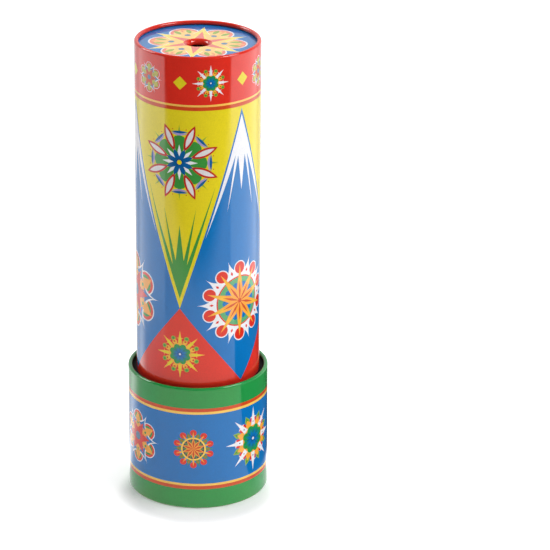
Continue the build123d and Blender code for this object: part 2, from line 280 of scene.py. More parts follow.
def stripe(turn, low, high, ink):
    """Line printed right round a sheet. It runs past both edges of the sheet, which trims it."""
    reach = turn / 2 + 5
    return [(rectangle(-reach, reach, low, high), ink)]


def seam(turn, low, high):
    """Dark line of the lapped seam at the back."""
    half = 0.16
    return [(rectangle(turn / 2 - half, turn / 2 + half, low, high), "seam")]


def wrapped(art, turn):
    """Art repeated one turn to each side, so that what crosses the seam is whole."""
    reach = turn / 2 + 1
    return [
        ([(x + shift, y) for x, y in outline], ink)
        for outline, ink in art
        for shift in (-turn, 0, turn)
        if any(abs(x + shift) < reach for x, y in outline)
    ]


PANEL_TIP = 103.0  # yellow points meet red points
PANEL_TOP = 202.55  # yellow panel meets the red band
LINE_MIDDLE = 204.4  # the band's vermilion line meets its gold line
LINE_TOP = 205.35
KITE_TOP = 201.6
KITE_FOOT = 63.2
BAND_Y = 215.9  # row of motifs on the red band
BLOSSOM_Y = 176.9
KITE_MOTIF_Y = 104.7
RED_STAR_Y = 79.4
PERIOD = TUBE_TURN / 3
KITE_X = 22.6  # axis of the blue kite right of the front
VALLEY_X = KITE_X - PERIOD / 2  # axis of the yellow point
KITE_MOTIF_LEFT = 0.8  # the kites' motifs and the diamonds are printed a little off the axes
DIAMOND_RIGHT = 0.4
PANEL_SLOPE = (PERIOD / 2) / (KITE_TOP - PANEL_TIP)


def snow_cap():
    """White cap of a blue kite: streaks down both edges and three icicles. x from the kite's axis."""
    edge_gap = 0.95
    streak_foot = 139.0
    right = [
        (0, 161.0), (2.1, 178.5), (8.1, 151.5), (3.6, 179.0),
        (PANEL_SLOPE * (KITE_TOP - streak_foot) - edge_gap, streak_foot),
        (PANEL_SLOPE * (KITE_TOP - 190) - edge_gap, 190), (0, KITE_TOP - edge_gap / PANEL_SLOPE),
    ]
    return right + [(-x, y) for x, y in reversed(right[1:-1])]


def grass():
    """Green foot of a yellow point, with five blades. x from the point's axis."""
    border = 1.65
    blade_top = 165.0
    edge_foot = PANEL_TIP + 23
    right = [
        (0, PANEL_TIP + border / PANEL_SLOPE), (PANEL_SLOPE * (edge_foot - PANEL_TIP) - border, edge_foot),
        (17.3, blade_top), (3.5, 125.3), (8.0, 154.0), (2.0, 127.5), (0, 145.5),
    ]
    return right + [(-x, y) for x, y in reversed(right[1:-1])]


def tube_art():
    """Everything printed on the tube, over a red ground."""
    bands = stripe(TUBE_TURN, PANEL_TIP, PANEL_TOP, "yellow")
    bands += stripe(TUBE_TURN, PANEL_TOP, LINE_MIDDLE, "vermilion")
    bands += stripe(TUBE_TURN, LINE_MIDDLE, LINE_TOP, "gold")
    art = []
    pierced_star = compass_star("white", "leaf", "eye")
    half = PERIOD / 2
    blue_kite = [(0, KITE_FOOT), (half, PANEL_TIP), (0, KITE_TOP), (-half, PANEL_TIP)]
    kite_motifs = ((wheel(), 20.6, 90), (pierced_star, 20.6, 0), (rosette("blue"), 19.8, 0))
    blossom_sizes = (19.6, 13.0, 19.6)
    red_star = compass_star("amber", "bud", "ridge")
    band_star = compass_star("white", "bud")
    band_motifs = (band_star, knob_wheel(), band_star)
    band_rosette = rosette("slate", "red", "moss", "olive", "vermilion", "slate")
    for k in range(3):
        kite_x = KITE_X + PERIOD * k
        valley_x = VALLEY_X + PERIOD * k
        art.append(([(kite_x + x, y) for x, y in blue_kite], "blue"))
        art.append(([(kite_x + x, y) for x, y in snow_cap()], "white"))
        art.append(([(valley_x + x, y) for x, y in grass()], "leaf"))
        motif, size, turn = kite_motifs[k]
        art += placed(motif, kite_x - KITE_MOTIF_LEFT, KITE_MOTIF_Y, size, turn)
        art += placed(blossom(), valley_x, BLOSSOM_Y, blossom_sizes[k])
        art += placed(red_star, valley_x, RED_STAR_Y, 12.3)
        for motif, x, size in (
            (band_rosette, valley_x - 16.9, 7.5), (diamond(), valley_x + DIAMOND_RIGHT, 3.3),
            (band_motifs[k], valley_x + 14.9, 8.9), (diamond(), kite_x + DIAMOND_RIGHT, 3.3),
        ):
            art += placed(motif, x, BAND_Y, size)
    return bands + wrapped(art + seam(TUBE_TURN, 52.5, 225), TUBE_TURN)


def drum_art():
    """Everything printed on the drum, over a green ground."""
    bands = stripe(DRUM_TURN, 10.3, 53.05, "vermilion")
    bands += stripe(DRUM_TURN, 12.1, 51.3, "gold")
    bands += stripe(DRUM_TURN, 13.3, 50.0, "blue")
    art = []
    row_y = 31.8
    pierced_star = compass_star("white", "leaf", "eye")
    for motif, x, size, turn in (
        (rosette("blue"), -35.2, 14.1, 0), (knob_wheel(), -2.3, 10.2, 90), (pierced_star, 30.7, 16.9, 0),
        (daisy(), 61.3, 9.6, 0), (wheel(), 88.6, 14.6, 90), (rosette("blue", "red", "leaf"), -89.2, 14.4, 0),
        (knob_wheel(), -61.8, 9.6, 90),
    ):
        art += placed(motif, x, row_y, size, turn)
    return bands + wrapped(art + seam(DRUM_TURN, 4, 59.5), DRUM_TURN)


def eyepiece_art():
    """The eyepiece's picture, seen from above, over a blue ground: the front is towards -y."""
    lobe = -7.5  # degrees
    spike = lobe + 30
    leaf_turn = 9.0
    notch = 6.9  # outside the neck's lip, which bounds the print
    return (
        fan(6, lobe, (dot(7.55, 16.1, 40), "white"), (dot(6.85, 16.1, 40), "salmon"))
        + fan(6, lobe, (dot(5.9, 14.8, 32), "peach"))
        + fan(6, lobe - leaf_turn, (lens(15.0, 21.4, 1.2), "moss"))
        + fan(6, lobe + leaf_turn, (lens(15.0, 21.4, 1.2), "moss"))
        + fan(6, lobe, (lens(16.5, 22.4, 1.0), "gold"), (lens(17.5, 21.4, 0.45), "salmon"))
        + fan(6, spike, (thorn(13.0, 25.2, 4.3, 1.4), "white"), (thorn(11.0, 24.5, 5.0, 1.4), "lemon"))
        + [(dot(13.2, 0, 60), "peach")]
        + [(star(6, 19.5, notch, spike), "lemon")]
        + fan(6, spike, (ray_from_ring(notch, 17.6, 19.5), "pink"))
        + fan(6, lobe, (dot(1.5, 12.6, 18), "slate"))
    )


# ---- Meshes that carry inks ----

class Skin:
    """A closed mesh built face by face, with an ink per face and chosen normals."""

    def __init__(self):
        self.points = []
        self.found = {}
        self.faces = []

    def point(self, place):
        if place not in self.found:
            self.found[place] = len(self.points)
            self.points.append([c * MM for c in place])
        return self.found[place]

    def face(self, places, normals, ink, slot=0):
        self.faces.append(([self.point(place) for place in places], normals, ink, slot))

    def weld(self, reach=0.001):
        """For each point, the first point that lies within reach of it, in millimetres."""
        tree = KDTree(len(self.points))
        for number, place in enumerate(self.points):
            tree.insert(place, number)
        tree.balance()
        return [min(number for _, number, _ in tree.find_range(place, reach * MM)) for place in self.points]

    def build(self, name, materials):
        """The skin as a mesh object. Points that lie together become one, and faces that vanish go."""
        welded = self.weld()
        numbers = {}
        faces = []
        normals = []
        inks = []
        slots = []
        for corners, corner_normals, ink, slot in self.faces:
            corners = [welded[corner] for corner in corners]
            kept = [k for k, corner in enumerate(corners) if corner != corners[k - 1]]
            if len(kept) > 2:
                faces.append([numbers.setdefault(corners[k], len(numbers)) for k in kept])
                normals += [corner_normals[k] for k in kept]
                inks += (*linear(INKS[ink]), 1.0) * len(kept)
                slots.append(slot)
        mesh = bpy.data.meshes.new(name)
        mesh.from_pydata([self.points[corner] for corner in numbers], [], faces)
        for material in materials:
            mesh.materials.append(material)
        mesh.polygons.foreach_set("material_index", slots)
        mesh.polygons.foreach_set("use_smooth", [True] * len(faces))
        mesh.color_attributes.new("ink", "FLOAT_COLOR", "CORNER").data.foreach_set("color", inks)
        mesh.normals_split_custom_set(normals)
        mesh.update()
        shell = bpy.data.objects.new(name, mesh)
        bpy.context.scene.collection.objects.link(shell)
        return shell


def wound(outline):
    """The outline, listed anticlockwise."""
    area = sum(x0 * y1 - x1 * y0 for (x0, y0), (x1, y1) in zip(outline, outline[1:] + outline[:1]))
    return outline if area > 0 else outline[::-1]


def cut_sheet(domain, art, cut_lines):
    """Triangles of a sheet with the art printed on it: (three corners, ink of the topmost outline).

    domain is [(outline, ground ink or None for a hole), ...]: the first outline bounds the sheet.
    cut_lines are lines that no triangle crosses, so that a rolled sheet bends along them.
    """
    layers = domain[:1] + art + domain[1:]
    points = []
    faces = []
    for outline, _ in layers:
        faces.append(list(range(len(points), len(points) + len(outline))))
        points += [Vector(place) for place in wound(outline)]
    edges = []
    for start, end in cut_lines:
        edges.append((len(points), len(points) + 1))
        points += [Vector(start), Vector(end)]
    inside_only = 1
    # sources lists the layers that cover each triangle
    places, _, triangles, _, _, sources = delaunay_2d_cdt(points, edges, faces, inside_only, 1e-5)
    sheet = []
    for triangle, source in zip(triangles, sources):
        if 0 in source and layers[max(source)][1] is not None:
            sheet.append(([places[k] for k in triangle], layers[max(source)][1]))
    return sheet


def rolled(x, y, radius, groove=0.0):
    """Place on the shell of a point of the unrolled sheet."""
    angle = x / radius
    reach = radius - groove
    return (reach * math.sin(angle), -reach * math.cos(angle), y)


def lathe(skin, path, ink, slot):
    """Surface of revolution. path lists (radius, height, radial and vertical share of the normal)."""
    for low, high in zip(path, path[1:]):
        for k in range(COLUMNS):
            a, b = (-math.pi + 2 * math.pi * (k + step) / COLUMNS for step in (0, 1))
            places = []
            normals = []
            for angle, (radius, height, outward, upward) in ((a, low), (b, low), (b, high), (a, high)):
                places.append(rolled(angle * radius, height, radius))
                normals.append((outward * math.sin(angle), -outward * math.cos(angle), upward))
            skin.face(places, normals, ink, slot)


def curl_path(centre_r, centre_z, radius, first, sweep, inward=1, steps=20):
    """Round stretch of a path. inward is -1 where the sheet's inside faces the curl's centre."""
    path = []
    for k in range(steps + 1):
        c, s = polar(1, first + sweep * k / steps)
        path.append((centre_r + radius * c, centre_z + radius * s, inward * c, inward * s))
    return path


def print_on_wall(skin, radius, low, high, art, ground):
    """Rolls the printed sheet into the outside of a shell, between two heights."""
    half = math.pi * radius
    domain = [(rectangle(-half, half, low, high), ground)]
    columns = [-half + 2 * half * k / COLUMNS for k in range(1, COLUMNS)]
    lines = [((x, low), (x, high)) for x in columns]
    groove_half = 0.25
    groove_depth = 0.10
    end_gap = 1  # the seam's groove runs out this far from both edges
    for triangle, ink in cut_sheet(domain, art, lines):
        places = []
        for x, y in triangle:
            inside = low + end_gap < y < high - end_gap
            share = max(0.0, 1 - (half - abs(x)) / groove_half) if inside else 0.0
            places.append(rolled(x, y, radius, groove_depth * share))
        normals = [(math.sin(x / radius), -math.cos(x / radius), 0) for x, y in triangle]
        skin.face(places, normals, ink)


def printed_tube(materials):
    """Tube shell: printed wall, rolled top edge, bare inside and a plain cut lower end."""
    skin = Skin()
    inner = TUBE_RADIUS - TIN
    centre_r = TUBE_RADIUS - CURL
    centre_z = tube_high.z - CURL
    hidden = drum_high.z - 12  # the print stops inside the drum
    print_on_wall(skin, TUBE_RADIUS, hidden, centre_z, tube_art(), "red")
    curl = curl_path(centre_r, centre_z, CURL, 0, CURL_SWEEP)
    back = curl_path(centre_r, centre_z, CURL - TIN, CURL_SWEEP, -CURL_SWEEP, -1)
    lathe(skin, curl, "red", 0)
    lathe(skin, [curl[-1], back[0]], "tin", 1)
    lathe(skin, back, "tin", 1)
    lathe(skin, [(inner, centre_z, -1, 0), (inner, tube_low.z, -1, 0)], "tin", 1)
    lathe(skin, [(inner, tube_low.z, 0, -1), (TUBE_RADIUS, tube_low.z, 0, -1)], "tin", 1)
    lathe(skin, [(TUBE_RADIUS, tube_low.z, 1, 0), (TUBE_RADIUS, hidden, 1, 0)], "red", 0)
    return skin.build("tube_shell_printed", materials)


def printed_drum(materials):
    """Drum shell: printed wall with both edges rolled inwards and a bare inside."""
    skin = Skin()
    inner = DRUM_RADIUS - TIN
    centre_r = DRUM_RADIUS - CURL
    high_z = drum_high.z - CURL
    low_z = drum_low.z + CURL
    print_on_wall(skin, DRUM_RADIUS, low_z, high_z, drum_art(), "green")
    curl = curl_path(centre_r, high_z, CURL, 0, CURL_SWEEP)
    back = curl_path(centre_r, high_z, CURL - TIN, CURL_SWEEP, -CURL_SWEEP, -1)
    lathe(skin, curl, "green", 0)
    lathe(skin, [curl[-1], back[0]], "tin", 1)
    lathe(skin, back, "tin", 1)
    lathe(skin, [(inner, high_z, -1, 0), (inner, low_z, -1, 0)], "tin", 1)
    back = curl_path(centre_r, low_z, CURL - TIN, 0, -CURL_SWEEP, -1)
    curl = curl_path(centre_r, low_z, CURL, -CURL_SWEEP, CURL_SWEEP)
    lathe(skin, back, "tin", 1)
    lathe(skin, [back[-1], curl[0]], "tin", 1)
    lathe(skin, curl, "green", 0)
    return skin.build("drum_shell_printed", materials)


def printed_eyepiece(materials):
    """Eyepiece disc: printed face, drawn neck with a red lip, the bore below it inked black as painted shade,
    and a bare back.
    """
    skin = Skin()
    top = disc_high.z
    bend = 2.0  # outside radius of the bend between face and neck
    hole = 4.8
    lip = hole + bend
    red_depth = 0.45  # of the neck's straight bore, printed red; below it the black is painted shade
    red_end = top - bend - red_depth
    edge = disc_high.x
    print_gap = 0.3  # between the print and the tube's curl
    print_edge = tube_high.x - 2 * CURL - print_gap
    circles = [
        [polar(radius, -90 + 360 * k / COLUMNS) for k in range(COLUMNS)] for radius in (print_edge, lip)
    ]
    for triangle, ink in cut_sheet([(circles[0], "blue"), (circles[1], None)], eyepiece_art(), []):
        skin.face([(x, y, top) for x, y in triangle], [(0, 0, 1)] * 3, ink)
    neck = curl_path(lip, top - bend, bend, 90, 90)
    lathe(skin, neck, "red", 0)
    lathe(skin, [(hole, top - bend, -1, 0), (hole, red_end, -1, 0)], "red", 0)
    # Painted shade: the rest of the bore is inked black, standing for the shade deep inside the neck.
    lathe(skin, [(hole, red_end, -1, 0), (hole, disc_low.z, -1, 0)], "black", 0)
    lathe(skin, [(hole, disc_low.z, 0, -1), (hole + TIN, disc_low.z, 0, -1)], "tin", 1)
    lathe(skin, [(hole + TIN, disc_low.z, 1, 0), (hole + TIN, top - bend, 1, 0)], "tin", 1)
    lathe(skin, curl_path(lip, top - bend, bend - TIN, 180, -90, -1), "tin", 1)
    lathe(skin, [(lip, top - TIN, 0, -1), (edge, top - TIN, 0, -1)], "tin", 1)
    lathe(skin, [(edge, top - TIN, 1, 0), (edge, top, 1, 0)], "tin", 1)
    lathe(skin, [(edge, top, 0, 1), (print_edge, top, 0, 1)], "blue", 0)
    return skin.build("eyepiece_disc_printed", materials)


# ---- Materials, in metres ----

MIX_A = 6  # colour sockets of a mix node, whose other A and B sockets share their names
MIX_B = 7
MIX_RESULT = 2


class Nodes:
    """Short way to build a material's node tree."""

    def __init__(self, name):
        self.material = bpy.data.materials.new(name)
        self.material.use_nodes = True
        self.tree = self.material.node_tree
        self.tree.nodes.clear()
        self.output = self.add("ShaderNodeOutputMaterial")
        self.shader = self.add("ShaderNodeBsdfPrincipled")
        self.link(self.shader.outputs[0], self.output.inputs["Surface"])
        self.place = self.add("ShaderNodeTexCoord").outputs["Object"]

    def add(self, kind, **values):
        node = self.tree.nodes.new(kind)
        for name, value in values.items():
            setattr(node, name, value)
        return node

    def link(self, source, target):
        self.tree.links.new(source, target)

    def set(self, **values):
        """Sets inputs of the main shader. Underscores stand for spaces."""
        for name, value in values.items():
            self.shader.inputs[name.replace("_", " ")].default_value = value

    def noise(self, scale, detail=2.0, stretch=None):
        """Noise in object space. scale is in features per metre."""
        source = self.place
        if stretch:
            mapping = self.add("ShaderNodeMapping")
            mapping.inputs["Scale"].default_value = stretch
            self.link(self.place, mapping.inputs["Vector"])
            source = mapping.outputs[0]
        noise = self.add("ShaderNodeTexNoise")
        noise.inputs["Scale"].default_value = scale
        noise.inputs["Detail"].default_value = detail
        self.link(source, noise.inputs["Vector"])
        return noise.outputs["Fac"]

    def ranged(self, value, low, high):
        """Maps a 0.3 to 0.7 noise on low to high."""
        ramp = self.add("ShaderNodeMapRange")
        for name, number in (("From Min", 0.3), ("From Max", 0.7), ("To Min", low), ("To Max", high)):
            ramp.inputs[name].default_value = number
        self.link(value, ramp.inputs["Value"])
        return ramp.outputs["Result"]

    def shaded(self, colour, amount):
        """Multiplies a colour socket by a grey value socket."""
        mix = self.add("ShaderNodeMix", data_type="RGBA", blend_type="MULTIPLY")
        mix.inputs["Factor"].default_value = 1.0
        self.link(colour, mix.inputs[MIX_A])
        self.link(amount, mix.inputs[MIX_B])
        return mix.outputs[MIX_RESULT]

    def blended(self, share, first, second):
        """Mix of two colour sockets: first where share is 0, second where it is 1."""
        mix = self.add("ShaderNodeMix", data_type="RGBA")
        self.link(share, mix.inputs["Factor"])
        self.link(first, mix.inputs[MIX_A])
        self.link(second, mix.inputs[MIX_B])
        return mix.outputs[MIX_RESULT]

    def maths(self, operation, *values):
        """Maths node. Each value is a number or a socket."""
        node = self.add("ShaderNodeMath", operation=operation)
        for k, value in enumerate(values):
            if isinstance(value, (int, float)):
                node.inputs[k].default_value = value
            else:
                self.link(value, node.inputs[k])
        return node.outputs[0]

    def smooth(self, value, low, high):
        """0 at low to 1 at high, with soft ends. high may be the smaller one."""
        node = self.add("ShaderNodeMapRange", interpolation_type="SMOOTHSTEP")
        node.inputs["From Min"].default_value = low
        node.inputs["From Max"].default_value = high
        self.link(value, node.inputs["Value"])
        return node.outputs["Result"]

    def let_light_through(self):
        """Makes the surface transparent to rays on their way to a lamp or out of a dull surface."""
        path = self.add("ShaderNodeLightPath")
        light = self.maths("MAXIMUM", path.outputs["Is Shadow Ray"], path.outputs["Is Diffuse Ray"])
        mix = self.add("ShaderNodeMixShader")
        self.link(light, mix.inputs[0])
        self.link(self.shader.outputs[0], mix.inputs[1])
        self.link(self.add("ShaderNodeBsdfTransparent").outputs[0], mix.inputs[2])
        self.link(mix.outputs[0], self.output.inputs["Surface"])

    def colour(self, rgb):
        node = self.add("ShaderNodeRGB")
        node.outputs[0].default_value = (*rgb, 1.0)
        return node.outputs[0]

    def bump(self, height, distance, strength=1.0, socket="Normal"):
        node = self.add("ShaderNodeBump")
        node.inputs["Distance"].default_value = distance
        node.inputs["Strength"].default_value = strength
        self.link(height, node.inputs["Height"])
        self.link(node.outputs[0], self.shader.inputs[socket])


def printed_tin():
    """Inks on tinplate under clear lacquer: faint ink mottle, slightly wavy gloss."""
    m = Nodes("printed_tin")
    ink = m.add("ShaderNodeAttribute", attribute_name="ink").outputs["Color"]
    mottle = m.ranged(m.noise(1400, 3), 0.95, 1.05)
    m.link(m.shaded(ink, mottle), m.shader.inputs["Base Color"])
    m.link(m.ranged(m.noise(900, 2), 0.30, 0.42), m.shader.inputs["Roughness"])
    m.link(m.ranged(m.noise(60, 2), 0.025, 0.06), m.shader.inputs["Coat Roughness"])
    m.set(Coat_Weight=1.0, Coat_IOR=1.52, Specular_IOR_Level=0.0)
    m.bump(m.noise(45, 2, (1, 1, 0.35)), 0.00006)
    return m.material


def bare_tin():
    """Unprinted inside of the tinplate: dull metal with a fine rolled grain."""
    m = Nodes("bare_tin")
    grain = m.noise(2500, 3, (1, 1, 0.06))
    m.link(m.shaded(m.colour((0.62, 0.61, 0.58)), m.ranged(grain, 0.9, 1.08)), m.shader.inputs["Base Color"])
    m.link(m.ranged(grain, 0.22, 0.36), m.shader.inputs["Roughness"])
    m.set(Metallic=1.0)
    m.bump(grain, 0.00001)
    return m.material


def card(name, rgb):
    """Grey-brown card with fibres."""
    m = Nodes(name)
    fibre = m.noise(1800, 4, (1, 0.25, 1))
    m.link(m.shaded(m.colour(rgb), m.ranged(fibre, 0.82, 1.12)), m.shader.inputs["Base Color"])
    m.link(m.ranged(fibre, 0.8, 0.95), m.shader.inputs["Roughness"])
    m.bump(fibre, 0.00008)
    return m.material


def moulded_plastic(name, rgb, low, high, shine=0.5):
    """Moulded plastic with a faint texture. low and high bound its roughness."""
    m = Nodes(name)
    m.set(Specular_IOR_Level=shine)
    cloud = m.noise(700, 3)
    m.link(m.shaded(m.colour(rgb), m.ranged(cloud, 0.93, 1.05)), m.shader.inputs["Base Color"])
    m.link(m.ranged(cloud, low, high), m.shader.inputs["Roughness"])
    m.bump(cloud, 0.00003)
    return m.material


def clear_plastic(name, rgb, low, high):
    """Clear styrene with faint scuffs. Lamps and soft light shine straight through it."""
    m = Nodes(name)
    m.link(m.ranged(m.noise(220, 4), low, high), m.shader.inputs["Roughness"])
    m.set(Base_Color=(*rgb, 1.0), Transmission_Weight=1.0, IOR=1.5)
    m.let_light_through()
    return m.material


def bead_plastic(name, rgb, transmission, flecks=0.0):
    """Tinted, see-through bead plastic with moulding swirls and, for some, glitter flecks.

    flecks is a fleck's radius as a share of the fleck spacing.
    """
    fleck_rate = 900  # per metre
    m = Nodes(name)
    tint = m.shaded(m.colour(rgb), m.ranged(m.noise(260, 2), 0.85, 1.1))
    if flecks:
        cells = m.add("ShaderNodeTexVoronoi")
        cells.inputs["Scale"].default_value = fleck_rate
        m.link(m.place, cells.inputs["Vector"])
        spots = m.maths("LESS_THAN", cells.outputs["Distance"], flecks)
        tint = m.blended(spots, tint, m.colour((0.95, 0.95, 0.97)))
        m.link(spots, m.shader.inputs["Metallic"])
    m.link(tint, m.shader.inputs["Base Color"])
    m.link(m.ranged(m.noise(500, 2), 0.03, 0.10), m.shader.inputs["Roughness"])
    m.set(Transmission_Weight=transmission, IOR=1.49)
    return m.material


def silvered():
    """Mirror strip: clean silver with the faintest haze."""
    m = Nodes("silvered_mirror")
    haze = m.ranged(m.noise(80, 2), 0.97, 1.0)
    m.link(m.shaded(m.colour((0.88, 0.90, 0.91)), haze), m.shader.inputs["Base Color"])
    m.link(m.ranged(m.noise(300, 3), 0.01, 0.04), m.shader.inputs["Roughness"])
    m.set(Metallic=1.0)
    return m.material


def gummed_tape():
    """Paper tape with a fine crepe across it."""
    m = Nodes("gummed_tape")
    crepe = m.noise(3000, 2, (0.2, 0.2, 1))
    m.link(m.shaded(m.colour((0.70, 0.60, 0.38)), m.ranged(crepe, 0.88, 1.08)), m.shader.inputs["Base Color"])
    m.link(m.ranged(crepe, 0.6, 0.8), m.shader.inputs["Roughness"])
    m.bump(crepe, 0.00005)
    return m.material


def paint_nodes():
    """Gives every CAD node that stays in view its own material."""
    grey_card = card("grey_card", (0.40, 0.34, 0.26))
    black_card = card("black_card", (0.015, 0.014, 0.013))
    sleeve_card = card("sleeve_card", (0.30, 0.25, 0.19))
    # The bushes are black plastic, and their black also serves as painted shade in the gap between drum and
    # tube.
    black_bush = moulded_plastic("black_bush", (0.006, 0.006, 0.007), 0.6, 0.75, 0.15)
    off_white = moulded_plastic("off_white_plastic", (0.72, 0.70, 0.65), 0.35, 0.5)
    window = clear_plastic("clear_window", (0.97, 0.985, 0.98), 0.01, 0.05)
    cup = clear_plastic("clear_cup", (0.96, 0.975, 0.975), 0.015, 0.06)
    mirror = silvered()
    tape = gummed_tape()
    finishes = {
        "eyepiece_spacer": black_card, "eye_end_collar": black_card, "object_end_collar": grey_card,
        "drum_liner": grey_card, "mirror_sleeve": sleeve_card, "mirror_tape_upper": tape,
        "mirror_tape_lower": tape, "mirror_a": mirror, "mirror_b": mirror, "mirror_c": mirror,
        "eye_window": window, "tube_end_window": window, "inner_window": window, "object_cup": cup,
        "tube_end_ring": off_white, "cell_retaining_ring": off_white, "upper_bearing_ring": black_bush,
        "lower_bearing_ring": black_bush,
    }
    # Node, colour, transmission and glitter flecks
    beads = (
        ("pink_facet_beads", (0.96, 0.30, 0.44), 0.55, 0.20),
        ("orange_pony_beads", (1.0, 0.40, 0.08), 0.3, 0),
        ("lime_round_beads", (0.62, 0.86, 0.14), 0.4, 0), ("orange_rod_bead", (1.0, 0.46, 0.10), 0.4, 0),
        ("blue_facet_beads", (0.06, 0.20, 0.86), 0.55, 0.24),
        ("magenta_flower_beads", (0.88, 0.12, 0.46), 0.3, 0.20),
        ("red_tube_bead", (0.90, 0.08, 0.07), 0.35, 0), ("clear_star_bead", (0.95, 0.90, 0.97), 0.7, 0.24),
        ("teal_rice_bead", (0.08, 0.66, 0.60), 0.5, 0), ("ice_facet_beads", (0.50, 0.82, 1.0), 0.7, 0.20),
        ("green_round_beads", (0.10, 0.66, 0.26), 0.4, 0), ("amber_pony_bead", (1.0, 0.58, 0.08), 0.4, 0),
        ("navy_cube_beads", (0.03, 0.07, 0.48), 0.3, 0), ("rose_rice_beads", (0.97, 0.46, 0.52), 0.4, 0.20),
        ("clear_round_bead", (0.96, 0.96, 0.98), 0.9, 0), ("pink_star_bead", (0.97, 0.52, 0.70), 0.5, 0.24),
        ("green_facet_bead", (0.20, 0.80, 0.40), 0.55, 0),
    )
    for node, rgb, transmission, flecks in beads:
        finishes[node] = bead_plastic(node + "_plastic", rgb, transmission, flecks)
    for node, material in finishes.items():
        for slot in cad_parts[node].material_slots:
            slot.material = material


# ---- Studio ----

# Floor distances are in metres from the drum's axis. Bearings are in radians from straight ahead.
GLOW_BEARING = 1.06  # where the light boxes' glow begins, to each side
GLOW = 1.1
TABLE_EDGE = 0.27  # in front of the object
DARKNESS = 0.96  # of the room past that edge, and of the card on the right
WARM = (1.25, 1.08, 0.95)  # tint of the table straight ahead
NEUTRAL = (1.0, 1.0, 1.0)
SPARK_LEFT = 0.012  # the small lamp that the beads show, left of the axis
SPARK_RADIUS = 0.005
SPARK = 12.0
UNDER = 0.033  # radius of the floor that the standing drum hides
UNDER_GLOW = 1.2  # that floor lights the cell, as daylight does when the toy is held up
SHADE_AHEAD = 0.015  # middle of the drum's painted soft shadow, in front of the axis
SHADE_INNER = 0.031  # the painted shadow is even out to here, and gone at SHADE_OUTER
SHADE_OUTER = 0.043
SHADE_LIFT = 0.10  # camera-only glow that the camera sees in the painted shadow
OPEN_LIFT = 0.42  # and how much more of it outside


def product(m, *values):
    """Product of several shader values."""
    result = values[0]
    for value in values[1:]:
        result = m.maths("MULTIPLY", result, value)
    return result


def floor_distance(m, aside, ahead):
    """Distance on the floor from the point where aside and ahead are both 0."""
    return m.maths("SQRT", m.maths("ADD", m.maths("POWER", aside, 2.0), m.maths("POWER", ahead, 2.0)))


def lit_table(m, path, aside, ahead):
    """What gloss shows of the floor: light boxes' glow, a dark room past its near edge and a dark card.

    The glow is at both sides and the card on the right. The beads, seen through the cup, also show a
    small lamp below them.
    """
    bearing = m.maths("ARCTAN2", m.maths("ABSOLUTE", aside), ahead)
    distance = floor_distance(m, aside, ahead)
    # The glow fades out straight behind, and in front of the object's sides it only begins further out.
    soft = 0.04
    sides = m.smooth(bearing, GLOW_BEARING - soft, GLOW_BEARING + soft)
    not_behind = m.smooth(bearing, math.pi - 0.7, math.pi - 1.0)
    reach = m.maths("MAXIMUM", m.smooth(distance, 0.17, 0.33), m.smooth(bearing, 1.75, 2.1))
    glow = product(m, sides, GLOW, not_behind, reach)
    # The dark parts: the room in front, between the glows, and the card, which is a sector of a ring.
    room = product(m, m.smooth(ahead, TABLE_EDGE, TABLE_EDGE + 0.12), m.smooth(bearing, 1.12, 1.04))
    on_right = m.maths("GREATER_THAN", aside, 0.0)
    card_width = product(m, m.smooth(bearing, 1.17, 1.20), m.smooth(bearing, 2.75, 2.55))
    card_depth = product(m, m.smooth(distance, 0.045, 0.06), m.smooth(distance, 0.30, 0.26))
    dark = m.maths("MAXIMUM", room, product(m, card_width, on_right, card_depth))
    level = product(m, m.maths("ADD", 1.0, glow), m.maths("SUBTRACT", 1.0, product(m, dark, DARKNESS)))
    lamp_distance = floor_distance(m, m.maths("ADD", aside, SPARK_LEFT), ahead)
    cup_faces = 3.0  # a ray from a bead has crossed more faces than this
    through_cup = m.maths("GREATER_THAN", path.outputs["Transmission Depth"], cup_faces)
    spark = product(m, m.smooth(lamp_distance, SPARK_RADIUS + 0.001, SPARK_RADIUS), through_cup, SPARK)
    table = m.add("ShaderNodeEmission")
    m.link(m.maths("ADD", level, spark), table.inputs["Strength"])
    # The tint is warm straight ahead and neutral in the glow and to the sides.
    neutral = m.maths("MAXIMUM", m.smooth(glow, 0.0, 0.8), m.smooth(bearing, 0.9, 1.3))
    m.link(m.blended(neutral, m.colour(WARM), m.colour(NEUTRAL)), table.inputs["Color"])
    return table.outputs[0]


